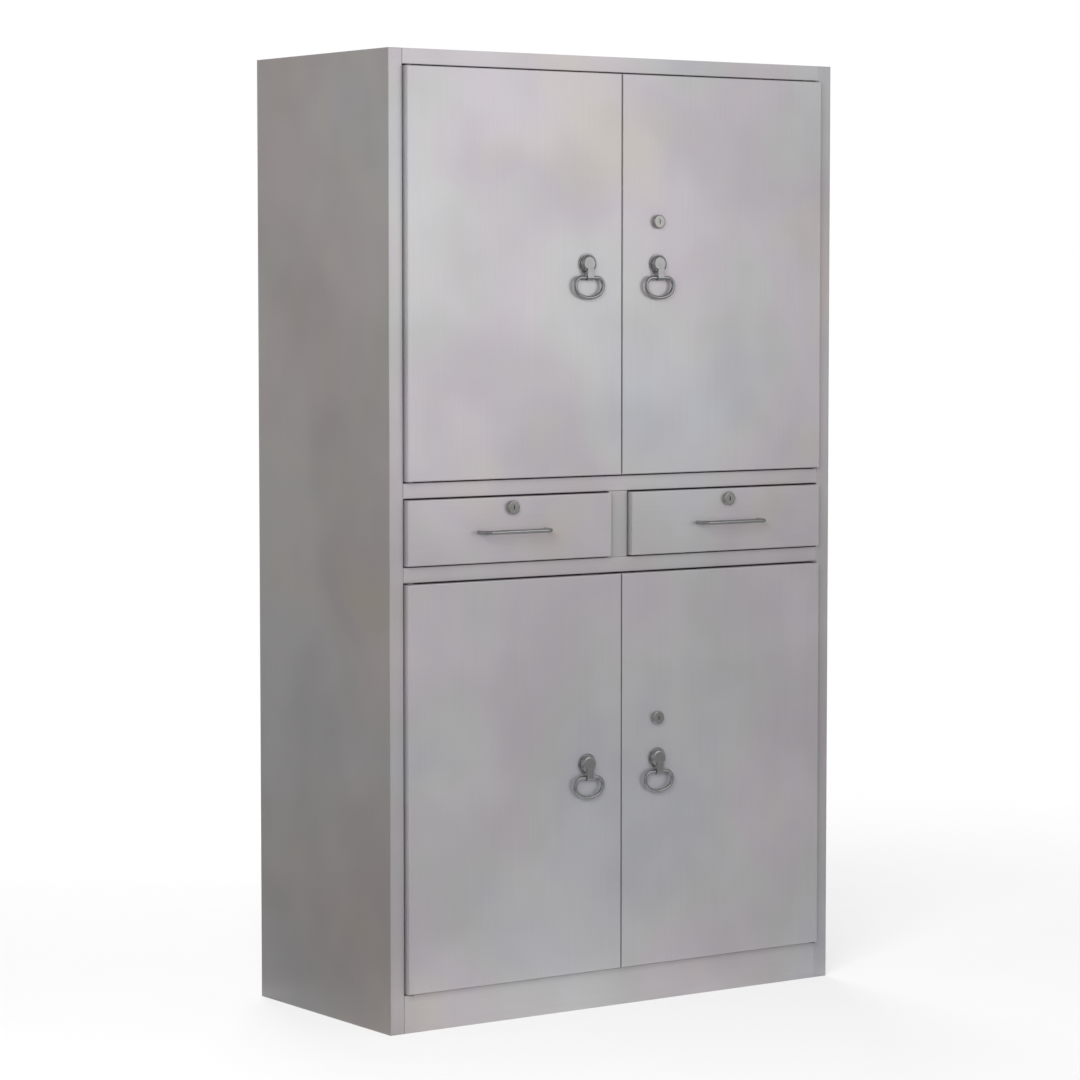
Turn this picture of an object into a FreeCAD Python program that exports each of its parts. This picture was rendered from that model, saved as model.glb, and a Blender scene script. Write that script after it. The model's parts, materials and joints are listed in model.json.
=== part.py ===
# Stainless steel medical cabinet: a pair of hinged doors above and below a row of two drawers.
# Millimetres. X runs to the right, Y into the cabinet and Z up from the floor. Each piece is drawn with
# the front plane of the door frame at Y = 0, and its Placement then centres the whole depth on the origin.

import FreeCAD, Part
import os
import re
from collections import namedtuple

import Sketcher
from FreeCAD import Rotation, Vector

DIMENSIONS = [
    # carcass
    ("width", 1000, "overall width"),
    ("depth", 450, "front plane of the door frame to the back"),
    ("height", 1750, "floor to the top"),
    ("gauge", 1, "sheet thickness"),
    ("bend", 1.6, "outside radius of a fold"),
    ("stile", 29.5, "width of the upright at each side of the front"),
    ("jamb", 30, "depth of the folds behind the front frame"),
    ("ground_edge", 0.7, "rounding of a side panel's upright edges"),
    ("back_fold", 15, "depth of the folds round the back panel"),
    ("foot", 25, "width of the folds that stand on the floor"),
    ("deck_flange", 25, "depth of the stiffening folds of a deck"),
    ("top_rail", 28, "height of the front rail above the upper doors"),
    ("rail", 28, "height of the front rails above and below the drawers"),
    ("plinth", 69, "height of the front below the lower doors"),
    ("plinth_shelf", 45, "depth of the fold on top of the plinth"),
    ("lower_opening", 738, "height of the lower doorway"),
    ("drawer_opening", 122, "height of the drawer openings"),
    ("mullion", 42, "width of the post between the drawers"),
    ("seat_gap", 0.3, "clearance between sheets that are fitted into each other"),
    # doors
    ("door_gap", 2.4, "gap round doors and drawer fronts"),
    ("meeting_gap", 2.6, "gap between the two doors of a pair"),
    ("door_proud", 12.5, "how far doors and drawer fronts stand out of the frame"),
    ("door_thick", 20, "thickness of doors and drawer fronts"),
    ("door_lip", 15, "width of the fold round the back of a door"),
    ("hat_width", 40, "width of the stiffener inside a door"),
    ("hat_foot", 14, "width of each foot of that stiffener"),
    ("hat_depth", 16, "depth of that stiffener"),
    # pivot hinges in the gaps above and below the doors
    ("pivot_inset", 8, "pivot to the hinged edge of the door"),
    ("pivot_forward", 7, "pivot to the front plane of the frame"),
    ("pivot_radius", 2.5, "hinge pin"),
    ("pivot_plate", 1.4, "thickness of a hinge plate"),
    ("pivot_half", 5, "half the width of a hinge plate"),
    ("pivot_tail", 22, "length of a hinge plate behind the front plane"),
    ("pivot_pin", 9, "length of the hinge pin below its plate"),
    ("running_fit", 0.05, "radial clearance of a pin in its hole"),
    # ring pulls of the doors
    ("pull_offset", 80, "pull to the middle of the cabinet"),
    ("upper_pull_lift", 20, "middle of an upper door to its pull"),
    ("lower_pull_lift", 20, "middle of a lower door to its pull"),
    ("rose_radius", 19, "base disc of the pull"),
    ("rose_base", 3, "thickness of the base disc"),
    ("dome_radius", 16.5, "dome on the base disc"),
    ("dome_rise", 7.5, "height of the dome above the base disc"),
    ("dome_round", 6, "rounding of the dome"),
    ("stud_radius", 3, "stud that holds the pull to the door"),
    ("stud_head", 6.5, "radius of the riveted head of the stud"),
    ("stud_head_thick", 2.5, "thickness of that head"),
    ("stud_fit", 0.2, "clearance of a stud or barrel in its sheet"),
    ("lug_width", 14, "width of the lug that carries the ring"),
    ("lug_radius", 5.5, "rounding of the lug about the ring's pivot"),
    ("ring_drop", 25, "middle of the base disc to the ring's pivot"),
    ("ring_off", 7.5, "ring's pivot to the face of the door"),
    ("ring_wire", 3.5, "radius of the ring's wire"),
    ("ring_pin", 2.5, "radius of the ring's ends in the lug"),
    ("ring_pin_length", 5, "depth of each end of the ring in the lug"),
    ("ring_side_gap", 0.4, "clearance between the lug and the ring's shoulders"),
    ("ring_half", 31, "half the width of the ring, to the middle of its wire"),
    ("ring_shoulder", 14, "radius of the ring's shoulders"),
    ("ring_corner", 20, "radius of the ring's lower corners"),
    ("ring_turn", 60, "angle of those corners, in degrees"),
    # cam locks
    ("upper_lock_rise", 78, "lock above the pull on the upper right door"),
    ("lower_lock_rise", 75, "lock above the pull on the lower right door"),
    ("bezel_radius", 13, "face of a lock"),
    ("bezel_reach", 8, "how far a lock stands out"),
    ("bezel_round", 2.5, "rounding of the lock's face"),
    ("barrel_radius", 9, "threaded barrel of a lock"),
    ("barrel_length", 17, "length of the barrel behind the door's face"),
    ("nut_radius", 13, "corner radius of the lock's nut"),
    ("nut_thick", 4, "thickness of the lock's nut"),
    ("core_radius", 6, "turning core of a lock"),
    ("cam_pin_radius", 4, "end of the core in its cam"),
    ("keyway_width", 2, "width of the keyway"),
    ("keyway_height", 8, "height of the keyway"),
    ("keyway_depth", 5, "depth of the keyway"),
    ("cam_thick", 2.5, "thickness of a cam"),
    ("cam_clear", 1.5, "clearance of a cam behind its door"),
    ("tongue_half", 8, "half the width of a door lock's tongue"),
    ("tongue_reach", 92, "core to the far end of that tongue"),
    ("drawer_lock_drop", 19, "top edge of a drawer front to its lock"),
    ("drawer_cam_half", 7, "half the width of a drawer lock's cam"),
    ("drawer_cam_reach", 30, "core to the far end of that cam"),
    ("cam_slot_gap", 2, "clearance of that cam in its slot"),
    # bolts of the left doors
    ("bolt_radius", 4, "rod of a bolt"),
    ("bolt_offset", 25, "bolt to the middle of the cabinet"),
    ("bolt_off", 8, "middle of the rod to the back of the door"),
    ("bolt_hole_gap", 0.5, "clearance of the rod in the frame"),
    ("bolt_end_gap", 1, "end of a drawn bolt to the edge of the door"),
    ("bolt_case_gap", 4, "bolt housing to the edge of the door"),
    ("bolt_case_length", 60, "length of a bolt housing"),
    ("bolt_case_half", 12, "half the width of a bolt housing"),
    ("bolt_case_plate", 2, "thickness of its plate"),
    ("bolt_guide", 12, "length of each guide of the rod"),
    ("bolt_guide_half", 7, "half the width of a guide"),
    ("bolt_throw", 14, "travel of a bolt"),
    ("bolt_tail", 4, "rod beyond the far guide"),
    ("knob_radius", 3, "knob on a bolt"),
    ("knob_reach", 13, "length of the knob"),
    # magnetic catches
    ("catch_offset", 62, "catch to the middle of the cabinet"),
    ("catch_width", 34, "width of a catch"),
    ("catch_depth", 16, "depth of a catch"),
    ("catch_height", 14, "height of a catch"),
    ("catch_round", 2, "rounding of a catch"),
    ("catch_gap", 0.3, "catch to the back of a closed door"),
    # drawers
    ("drawer_lip", 8, "width of the fold round the back of a drawer front"),
    ("tray_rise", 9, "drawer opening's lower edge to the bottom of the tray"),
    ("tray_height", 74, "height of the tray"),
    ("tray_length", 392, "length of the tray"),
    ("tray_hem", 7, "width of the fold along the tray's top edge"),
    ("pull_reach", 32, "how far the drawer pull stands out of the drawer front"),
    ("pull_wire", 4, "radius of the drawer pull's wire"),
    ("pull_span", 144, "distance between the legs of the drawer pull"),
    ("pull_bend", 13, "radius of the drawer pull's corners"),
    ("pull_below", 3, "drawer pull below the middle of the drawer front"),
    ("screw_radius", 2, "shank of the drawer pull's screws"),
    ("screw_depth", 9, "depth of those screws in the pull"),
    ("screw_head", 4.2, "radius of their heads"),
    ("screw_head_thick", 2.8, "thickness of their heads"),
    # telescopic slides
    ("slide_level", 41, "drawer opening's lower edge to the middle of the slides"),
    ("slide_front", 12, "frame's front plane to the front of the slides"),
    ("slide_length", 380, "length of the slides"),
    ("slide_width", 13, "drawer to what carries the slide"),
    ("slide_half", 21, "half the height of the outer member"),
    ("slide_wall", 1.2, "thickness of the slides' steel"),
    ("slide_gap", 0.3, "running gap between the slides' members"),
    ("slide_reach", 10.5, "depth of the outer member"),
    ("slide_lip", 3, "width of the members' inward lips"),
    ("bracket_half", 24, "half the height of the bracket behind a slide"),
    ("bracket_end", 16, "bracket to the back panel"),
    # shelves
    ("shelf_front", 62, "frame's front plane to a shelf"),
    ("shelf_back", 8, "shelf to the back panel"),
    ("shelf_edge", 25, "depth of the folds round a shelf"),
    ("shelf_side_gap", 1.5, "shelf to the uprights"),
    ("upright_width", 25, "width of a slotted upright"),
    ("upright_depth", 10, "depth of a slotted upright"),
    ("upright_inset", 60, "shelf's front and back edges to the uprights"),
    ("upright_end_gap", 12, "uprights to the decks"),
    ("slot_first", 45, "foot of an upright to its lowest slot"),
    ("slot_pitch", 50, "distance between slots"),
    ("slot_count", 12, "slots in an upright"),
    ("slot_width", 14, "width of a slot"),
    ("slot_height", 3, "height of a slot"),
    ("upper_slot_count", 6, "slots below the one that carries the upper shelf"),
    ("lower_slot_count", 6, "slots below the one that carries the lower shelf"),
    ("clip_width", 12, "width of a shelf clip"),
    ("clip_thick", 2, "thickness of a shelf clip"),
    ("clip_reach", 13, "how far a clip stands out of its upright"),
    ("clip_drop", 16, "height of a clip's upright leg"),
    ("clip_hook", 5, "depth of a clip in its slot"),
]

# Places shared by several pieces, as expressions on the dimensions above
FRONT = "-(depth - door_proud - pull_reach) / 2"
OPEN = "(width / 2 - stile)"
INSIDE = "(width / 2 - gauge)"
BACK = "(depth - back_fold)"
BEHIND_JAMB = "(jamb + seat_gap)"
LOWER_TOP = "(plinth + lower_opening)"
DRAWER_BOTTOM = f"({LOWER_TOP} + rail)"
DRAWER_TOP = f"({DRAWER_BOTTOM} + drawer_opening)"
UPPER_BOTTOM = f"({DRAWER_TOP} + rail)"
UPPER_TOP = "(height - top_rail)"
FACE = "(-door_proud)"
SKIN_BACK = "(gauge - door_proud)"
DOOR_BACK = "(door_thick - door_proud)"
DOOR_EDGE = f"({OPEN} - door_gap)"
CAM_FRONT = f"({DOOR_BACK} + cam_clear)"
BOLT_LINE = f"({DOOR_BACK} + bolt_off)"
DRAWER_MIDDLE = f"(({OPEN} + mullion / 2) / 2)"
DRAWER_LOCK = f"({DRAWER_TOP} - door_gap - drawer_lock_drop)"
SLIDE_LINE = f"({DRAWER_BOTTOM} + slide_level)"
SHELF_BACK = f"({BACK} - shelf_back)"

SIDES = {"left": -1, "right": 1}
Storey = namedtuple("Storey", "name bottom top pull lock slot_count")
STOREYS = [
    Storey("upper", UPPER_BOTTOM, UPPER_TOP, "upper_pull_lift", "upper_lock_rise", "upper_slot_count"),
    Storey("lower", "plinth", LOWER_TOP, "lower_pull_lift", "lower_lock_rise", "lower_slot_count"),
]

doc = FreeCAD.newDocument("medical_cabinet")
dims = doc.addObject("Spreadsheet::Sheet", "dims")
for row, (alias, size, meaning) in enumerate(DIMENSIONS, 1):
    dims.set(f"A{row}", meaning)
    dims.set(f"B{row}", str(size))
    dims.setAlias(f"B{row}", alias)
doc.recompute()

ALIASES = {alias for alias, size, meaning in DIMENSIONS}
WORD = re.compile(r"[a-z][a-z_]*")
ALONG_X = Rotation(Vector(0, 1, 0), 90)
ALONG_Y = Rotation(Vector(1, 0, 0), -90)
UPRIGHT = Rotation(Vector(1, 0, 0), 90)
NEAR = 1e-4  # places closer than this are the same
DRAFT = Vector(100, 0, 0)  # corner of a loop before its constraints place it
Circle = namedtuple("Circle", "x y radius")
nodes = []


def cells(text):
    """The expression with each dimension's name turned into a reference to its cell."""
    return WORD.sub(lambda word: f"dims.{word[0]}" if word[0] in ALIASES else word[0], text)


def size(alias):
    return float(dims.get(alias))


# Drawing and solid features


def rectangle(x0, y0, x1, y1):
    return [(x0, y0), (x1, y0), (x1, y1), (x0, y1)]


def inset(x0, y0, x1, y1, by):
    """A rectangle inside the one given; x0 and y0 are its low corner."""
    return rectangle(f"{x0} + {by}", f"{y0} + {by}", f"{x1} - {by}", f"{y1} - {by}")


def draw_polygon(drawing, points):
    count = len(points)
    first = drawing.GeometryCount
    for n in range(count):
        start, end = (Rotation(Vector(0, 0, 1), 360 * k / count).multVec(DRAFT) for k in (n, n + 1))
        drawing.addGeometry(Part.LineSegment(start, end))
    for n in range(count):
        drawing.addConstraint(Sketcher.Constraint("Coincident", first + n, 2, first + (n + 1) % count, 1))
    for n, point in enumerate(points):
        for kind, text in zip(("DistanceX", "DistanceY"), point):
            index = drawing.addConstraint(Sketcher.Constraint(kind, first + n, 1, 1.0))
            drawing.setExpression(f"Constraints[{index}]", cells(text))


def draw_circle(drawing, circle):
    ring = drawing.addGeometry(Part.Circle(Vector(0, 0, 0), Vector(0, 0, 1), 10))
    for kind, text in (("DistanceX", circle.x), ("DistanceY", circle.y)):
        index = drawing.addConstraint(Sketcher.Constraint(kind, ring, 3, 1.0))
        drawing.setExpression(f"Constraints[{index}]", cells(text))
    index = drawing.addConstraint(Sketcher.Constraint("Radius", ring, 10.0))
    drawing.setExpression(f"Constraints[{index}]", cells(circle.radius))


def sketch(body, plane, at, loops):
    """A sketch of closed loops on one of the body's own planes, moved to a place along that plane's axis."""
    drawing = body.newObject("Sketcher::SketchObject", "outline")
    support = next(part for part in body.Origin.OriginFeatures if part.Role == f"{plane}_Plane")
    drawing.AttachmentSupport = [(support, "")]
    drawing.MapMode = "FlatFace"
    facing = "-1" if plane == "XZ" else "1"
    drawing.setExpression("AttachmentOffset.Base.z", cells(f"{facing} * ({at})"))
    for loop in loops:
        if isinstance(loop, Circle):
            draw_circle(drawing, loop)
        else:
            draw_polygon(drawing, loop)
    return drawing


def pad(body, plane, start, end, *loops):
    """Adds the loops as a solid between two places along the plane's axis."""
    solid = body.newObject("PartDesign::Pad", "pad")
    solid.Profile = sketch(body, plane, start, loops)
    solid.setExpression("Length", cells(f"({end}) - ({start})"))
    solid.Reversed = plane == "XZ"
    return solid


def pocket(body, plane, start, end, *loops):
    """Cuts the loops out of the body between two places along the plane's axis."""
    hole = body.newObject("PartDesign::Pocket", "pocket")
    hole.Profile = sketch(body, plane, start, loops)
    hole.setExpression("Length", cells(f"({end}) - ({start})"))
    hole.Reversed = plane != "XZ"
    return hole


def on_line(**place):
    """Chooses straight edges that lie where the given coordinates say."""
    def wanted(edge):
        if not isinstance(edge.Curve, (Part.Line, Part.LineSegment)):
            return False
        offsets = [getattr(end.Point, axis) - at for end in edge.Vertexes for axis, at in place.items()]
        return all(abs(offset) < NEAR for offset in offsets)
    return wanted


def round_edges(body, radius, *choices):
    """Rounds every edge of the body so far that one of the choices accepts."""
    doc.recompute()
    base = body.Tip
    edges = enumerate(base.Shape.Edges, 1)
    names = [f"Edge{number}" for number, edge in edges if any(wanted(edge) for wanted in choices)]
    fold = body.newObject("PartDesign::Fillet", "fold")
    fold.Base = (base, names)
    fold.setExpression("Radius", cells(radius))


def new_body(name):
    return doc.addObject("PartDesign::Body", name)


def primitive(kind, at, turn=Rotation(), **sizes):
    """A Part primitive whose sizes and place follow the dimensions."""
    solid = doc.addObject(f"Part::{kind}", kind.lower())
    for name, text in sizes.items():
        solid.setExpression(name, cells(text))
    solid.Placement = FreeCAD.Placement(Vector(), turn)
    for axis, text in zip("xyz", at):
        solid.setExpression(f"Placement.Base.{axis}", cells(text))
    return solid


def cylinder(at, turn, radius, length):
    return primitive("Cylinder", at, turn, Radius=radius, Height=length)


def fuse(name, solids):
    joined = doc.addObject("Part::MultiFuse", name)
    joined.Shapes = solids
    return joined


def cut(name, base, tool):
    rest = doc.addObject("Part::Cut", name)
    rest.Base = base
    rest.Tool = tool
    return rest


def node(part, label):
    """Makes the object a sub-part of the cabinet."""
    part.Label = label
    part.setExpression("Placement.Base.y", cells(FRONT))
    nodes.append(part)


def group(solids, label):
    together = doc.addObject("Part::Compound", label)
    together.Links = solids
    node(together, label)


# Carcass


def side_panel(name, side):
    """Side sheet with a fold at its foot to stand on."""
    body = new_body(f"{name}_side_panel")
    outer, inner = f"{side} * width / 2", f"{side} * {INSIDE}"
    pad(body, "XY", "0", "height - gauge", rectangle(outer, "0", inner, "depth"))
    edge = side * size("width") / 2
    round_edges(body, "ground_edge", on_line(x=edge, y=0), on_line(x=edge, y=size("depth")))
    pad(body, "XY", "0", "gauge", rectangle(inner, BEHIND_JAMB, f"{side} * (width / 2 - foot)", BACK))
    node(body, f"{name}_side_panel")


def front_posts():
    """Upright channels at the front: the stile between a flange on the side panel and the jamb."""
    posts = []
    for name, side in SIDES.items():
        body = new_body(f"{name}_post")
        wall, flange = f"{side} * {INSIDE}", f"{side} * ({INSIDE} - gauge)"
        opening, behind = f"{side} * {OPEN}", f"{side} * ({OPEN} + gauge)"
        plan = [
            (wall, "0"), (opening, "0"), (opening, "jamb"), (behind, "jamb"),
            (behind, "gauge"), (flange, "gauge"), (flange, "jamb"), (wall, "jamb"),
        ]
        pad(body, "XY", "0", "height - gauge", plan)
        doorway = side * (size("width") / 2 - size("stile"))
        round_edges(body, "bend", on_line(x=doorway, y=0))
        posts.append(body)
    group(posts, "front_posts")


def back_panel():
    """Back sheet set in between the sides, with folds that face backwards."""
    body = new_body("back_panel")
    edges = (f"(-{INSIDE})", "0", INSIDE, "(height - gauge)")
    pad(body, "XZ", BACK, f"{BACK} + gauge", rectangle(*edges))
    pad(body, "XZ", BACK, "depth", rectangle(*edges), inset(*edges, "gauge"))
    node(body, "back_panel")


def top_panel():
    body = new_body("top_panel")
    under = "height - gauge"
    section = [
        ("0", "height"), ("0", UPPER_TOP), ("jamb", UPPER_TOP), ("jamb", f"{UPPER_TOP} + gauge"),
        ("gauge", f"{UPPER_TOP} + gauge"), ("gauge", under), ("depth", under), ("depth", "height"),
    ]
    pad(body, "YZ", f"-{OPEN}", OPEN, section)
    ends = [rectangle(f"{side} * {OPEN}", "0", f"{side} * width / 2", "depth") for side in SIDES.values()]
    pad(body, "XY", under, "height", *ends)
    round_edges(body, "bend", on_line(y=0, z=size("height") - size("top_rail")))
    pocket(body, "XY", UPPER_TOP, f"{UPPER_TOP} + gauge", bolt_hole())
    node(body, "top_panel")


def bolt_hole():
    return Circle("-bolt_offset", BOLT_LINE, "bolt_radius + bolt_hole_gap")


def plinth_panel():
    body = new_body("plinth_panel")
    section = [
        ("0", "0"), ("0", "plinth"), ("plinth_shelf", "plinth"), ("plinth_shelf", "plinth - gauge"),
        ("gauge", "plinth - gauge"), ("gauge", "gauge"), ("foot", "gauge"), ("foot", "0"),
    ]
    pad(body, "YZ", f"-{OPEN}", OPEN, section)
    round_edges(body, "bend", on_line(y=0, z=size("plinth")))
    pocket(body, "XY", "plinth - gauge", "plinth", bolt_hole())
    node(body, "plinth_panel")


def floor_panel():
    """Floor of the lower compartment, folded down all round, under the fold of the plinth."""
    body = new_body("floor_panel")
    top = "plinth - gauge"
    edges = (f"-{INSIDE}", BEHIND_JAMB, INSIDE, BACK)
    pad(body, "XY", "plinth - 2 * gauge", top, rectangle(*edges))
    pad(body, "XY", f"{top} - deck_flange", top, rectangle(*edges), inset(*edges, "gauge"))
    node(body, "floor_panel")


def deck(name, low, high, plate_on_top, slots=()):
    """Deck with a front rail: a channel at the front and folds along the back and the sides."""
    body = new_body(name)
    if plate_on_top:
        plate, plate_inner, fold = high, f"{high} - gauge", f"{high} - deck_flange"
        lip, lip_inner = low, f"{low} + gauge"
        plate_faces = plate_inner, plate
    else:
        plate, plate_inner, fold = low, f"{low} + gauge", f"{low} + deck_flange"
        lip, lip_inner = high, f"{high} - gauge"
        plate_faces = plate, plate_inner
    section = [
        ("0", plate), ("0", lip), ("jamb", lip), ("jamb", lip_inner), ("gauge", lip_inner),
        ("gauge", plate_inner), (f"{BACK} - gauge", plate_inner), (f"{BACK} - gauge", fold),
        (BACK, fold), (BACK, plate),
    ]
    pad(body, "YZ", f"-{OPEN}", OPEN, section)
    for side in SIDES.values():
        wing = [
            (f"{side} * {OPEN}", plate), (f"{side} * {INSIDE}", plate), (f"{side} * {INSIDE}", fold),
            (f"{side} * ({INSIDE} - gauge)", fold), (f"{side} * ({INSIDE} - gauge)", plate_inner),
            (f"{side} * {OPEN}", plate_inner),
        ]
        pad(body, "XZ", BEHIND_JAMB, BACK, wing)
    doc.recompute()
    front_levels = [edge.BoundBox.ZMin for edge in body.Tip.Shape.Edges if on_line(y=0)(edge)]
    round_edges(body, "bend", on_line(y=0, z=min(front_levels)), on_line(y=0, z=max(front_levels)))
    pocket(body, "XY", *plate_faces, bolt_hole())
    if slots:
        pocket(body, "XY", lip, lip_inner, *slots)
    node(body, name)


def cam_slot(side):
    """Slot in the rail above a drawer, for the lock's cam on its way up."""
    middle = f"{side} * {DRAWER_MIDDLE}"
    return rectangle(
        f"{middle} - drawer_cam_half - cam_slot_gap", f"{CAM_FRONT} - cam_slot_gap",
        f"{middle} + drawer_cam_reach - drawer_cam_half + cam_slot_gap",
        f"{CAM_FRONT} + cam_thick + cam_slot_gap",
    )


def drawer_partition():
    """Post between the drawers, folded back on both sides to carry the inner slides."""
    body = new_body("drawer_partition")
    half, hollow = "mullion / 2", "(mullion / 2 - gauge)"
    plan = [
        (f"-{half}", "0"), (half, "0"), (half, BACK), (hollow, BACK), (hollow, "gauge"),
        (f"-{hollow}", "gauge"), (f"-{hollow}", BACK), (f"-{half}", BACK),
    ]
    pad(body, "XY", DRAWER_BOTTOM, DRAWER_TOP, plan)
    edges = [on_line(x=side * size("mullion") / 2, y=0) for side in SIDES.values()]
    round_edges(body, "bend", *edges)
    node(body, "drawer_partition")


def slide_brackets():
    """Channels that carry the outer slides level with the jambs."""
    brackets = []
    for name, side in SIDES.items():
        body = new_body(f"{name}_bracket")
        wall, face, hollow = f"{side} * {INSIDE}", f"{side} * {OPEN}", f"{side} * ({OPEN} + gauge)"
        low, high = f"{SLIDE_LINE} - bracket_half", f"{SLIDE_LINE} + bracket_half"
        section = [
            (wall, low), (face, low), (face, high), (wall, high), (wall, f"{high} - gauge"),
            (hollow, f"{high} - gauge"), (hollow, f"{low} + gauge"), (wall, f"{low} + gauge"),
        ]
        pad(body, "XZ", BEHIND_JAMB, f"{BACK} - bracket_end", section)
        brackets.append(body)
    group(brackets, "slide_brackets")


# Shelves


def shelf_level(storey):
    """Top face of the clips, which is the lower edge of the shelf."""
    return f"({storey.bottom} + upright_end_gap + slot_first + {storey.slot_count} * slot_pitch)"


def shelf(storey):
    body = new_body(f"{storey.name}_shelf")
    half = f"({INSIDE} - upright_depth - shelf_side_gap)"
    edges = (f"-{half}", "shelf_front", half, SHELF_BACK)
    low = shelf_level(storey)
    top = f"({low} + shelf_edge)"
    pad(body, "XY", f"{top} - gauge", top, rectangle(*edges))
    pad(body, "XY", low, top, rectangle(*edges), inset(*edges, "gauge"))
    doc.recompute()
    crown = body.Tip.Shape.BoundBox.ZMax
    round_edges(body, "bend", on_line(y=size("shelf_front"), z=crown))
    node(body, f"{storey.name}_shelf")


def upright_lines():
    """Middle of the front and the rear uprights."""
    return "shelf_front + upright_inset", f"{SHELF_BACK} - upright_inset"


def shelf_upright(storey, side, line):
    """Slotted channel on the side panel."""
    body = new_body("upright")
    wall, face = f"{side} * {INSIDE}", f"{side} * ({INSIDE} - upright_depth)"
    hollow = f"{side} * ({INSIDE} - upright_depth + gauge)"
    near, far = f"({line} - upright_width / 2)", f"({line} + upright_width / 2)"
    plan = [
        (wall, near), (face, near), (face, far), (wall, far), (wall, f"{far} - gauge"),
        (hollow, f"{far} - gauge"), (hollow, f"{near} + gauge"), (wall, f"{near} + gauge"),
    ]
    foot = f"({storey.bottom} + upright_end_gap)"
    pad(body, "XY", foot, f"{storey.top} - upright_end_gap", plan)
    low = f"({foot} + slot_first - clip_thick / 2 - slot_height / 2)"
    slot = rectangle(f"{line} - slot_width / 2", low, f"{line} + slot_width / 2", f"{low} + slot_height")
    inner, outer = (face, hollow) if side > 0 else (hollow, face)
    cutout = pocket(body, "YZ", inner, outer, slot)
    doc.recompute()
    row = body.newObject("PartDesign::LinearPattern", "slots")
    row.Originals = [cutout]
    row.Direction = (next(part for part in body.Origin.OriginFeatures if part.Role == "Z_Axis"), [""])
    row.setExpression("Occurrences", cells("slot_count"))
    row.setExpression("Length", cells("(slot_count - 1) * slot_pitch"))
    body.Tip = row
    return body


def shelf_clip(storey, side, line):
    """Bent clip whose hook sits in a slot and whose ledge carries the shelf."""
    body = new_body("clip")
    top = shelf_level(storey)
    low = f"({top} - clip_thick)"
    face = f"({INSIDE} - upright_depth)"

    def at(inward):
        return f"{side} * ({face} - ({inward}))"

    section = [
        (at("-clip_hook"), low), (at("-clip_hook"), top), (at("clip_reach"), top), (at("clip_reach"), low),
        (at("clip_thick"), low), (at("clip_thick"), f"{top} - clip_drop"), (at("0"), f"{top} - clip_drop"),
        (at("0"), low),
    ]
    pad(body, "XZ", f"{line} - clip_width / 2", f"{line} + clip_width / 2", section)
    return body


def shelf_fittings():
    sides = SIDES.values()
    corners = [(storey, side, line) for storey in STOREYS for side in sides for line in upright_lines()]
    group([shelf_upright(*corner) for corner in corners], "shelf_uprights")
    group([shelf_clip(*corner) for corner in corners], "shelf_clips")


# Hinges and catches


def pivot_place(side):
    return f"{side} * ({DOOR_EDGE} - pivot_inset)", "-pivot_forward"


def hinge_plate(storey, side, at_top):
    """Plate in the gap beside the door, with the pin that the door turns on."""
    body = new_body("hinge_plate")
    x, y = pivot_place(side)
    outline = rectangle(f"{x} - pivot_half", y, f"{x} + pivot_half", "pivot_tail")
    nose, pin = Circle(x, y, "pivot_half"), Circle(x, y, "pivot_radius")
    if at_top:
        low, high = f"{storey.top} - pivot_plate", storey.top
        pin_low, pin_high = f"{low} - pivot_pin", low
    else:
        low, high = storey.bottom, f"{storey.bottom} + pivot_plate"
        pin_low, pin_high = high, f"{high} + pivot_pin"
    pad(body, "XY", low, high, outline)
    pad(body, "XY", low, high, nose)
    pad(body, "XY", pin_low, pin_high, pin)
    return body


def magnetic_catch(storey, side):
    """Catch under the rail, just behind the closed door."""
    body = new_body("catch")
    middle = f"{side} * catch_offset"
    front = f"({DOOR_BACK} + catch_gap)"
    left, right = f"{middle} - catch_width / 2", f"{middle} + catch_width / 2"
    outline = rectangle(left, front, right, f"{front} + catch_depth")
    pad(body, "XY", f"{storey.top} - catch_height", storey.top, outline)
    doc.recompute()
    low = body.Tip.Shape.BoundBox.ZMin
    round_edges(body, "catch_round", on_line(z=low))
    return body


def hinges_and_catches():
    corners = [(storey, side) for storey in STOREYS for side in SIDES.values()]
    plates = [hinge_plate(*corner, at_top) for corner in corners for at_top in (True, False)]
    group(plates, "hinge_plates")
    group([magnetic_catch(*corner) for corner in corners], "magnetic_catches")


# Doors


def pan(body, edges, lip):
    """Folded sheet with a flat face, four returns and a lip round its back."""
    pad(body, "XZ", FACE, SKIN_BACK, rectangle(*edges))
    pad(body, "XZ", FACE, DOOR_BACK, rectangle(*edges), inset(*edges, "gauge"))
    pad(body, "XZ", f"{DOOR_BACK} - gauge", DOOR_BACK, rectangle(*edges), inset(*edges, lip))
    round_edges(body, "bend", on_line(y=-size("door_proud")))


def door_edges(storey, side):
    low, high = f"({storey.bottom} + door_gap)", f"({storey.top} - door_gap)"
    if side < 0:
        return f"(-{DOOR_EDGE})", low, "(-meeting_gap / 2)", high
    return "(meeting_gap / 2)", low, DOOR_EDGE, high


def door_pan(name, storey, side, holes):
    body = new_body(f"{name}_pan")
    edges = door_edges(storey, side)
    pan(body, edges, "door_lip")
    x, y = pivot_place(side)
    pocket(body, "XY", edges[1], edges[3], Circle(x, y, "pivot_radius + running_fit"))
    pocket(body, "XZ", FACE, SKIN_BACK, *holes)
    node(body, f"{name}_pan")


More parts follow.
